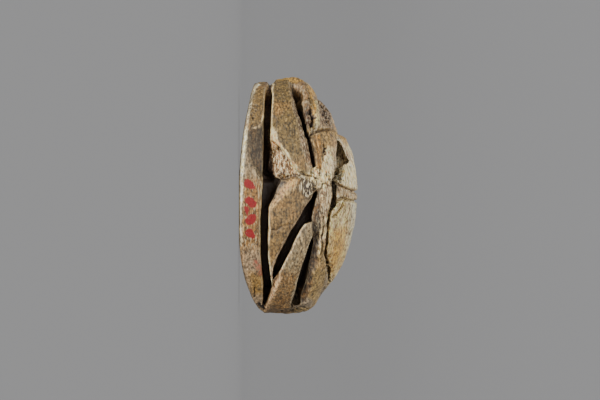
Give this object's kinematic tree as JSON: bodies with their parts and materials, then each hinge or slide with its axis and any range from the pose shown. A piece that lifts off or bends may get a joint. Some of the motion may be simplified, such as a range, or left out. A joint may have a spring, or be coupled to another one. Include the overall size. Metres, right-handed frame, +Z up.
{
  "type": "scarab amulet",
  "caption": "Small carved stone scarab: an oval base plate with a beetle on it, folded legs cut in relief on both flanks, bored lengthwise for a string.",
  "frame": {"origin": "centre of the bounding box, on the flat spot of the underside", "axes": "+Z up through the back, +X from the head to the tail, the pictured flank faces -Y"},
  "size_m": [0.0203, 0.0144, 0.0101],
  "materials": {
    "carved_stone": "matt tan stone, worn smooth on the high places, with remains of a paler skin on the back"
  },
  "bodies": {
    "root": {"scarab": "carved_stone"}
  },
  "joints": []
}
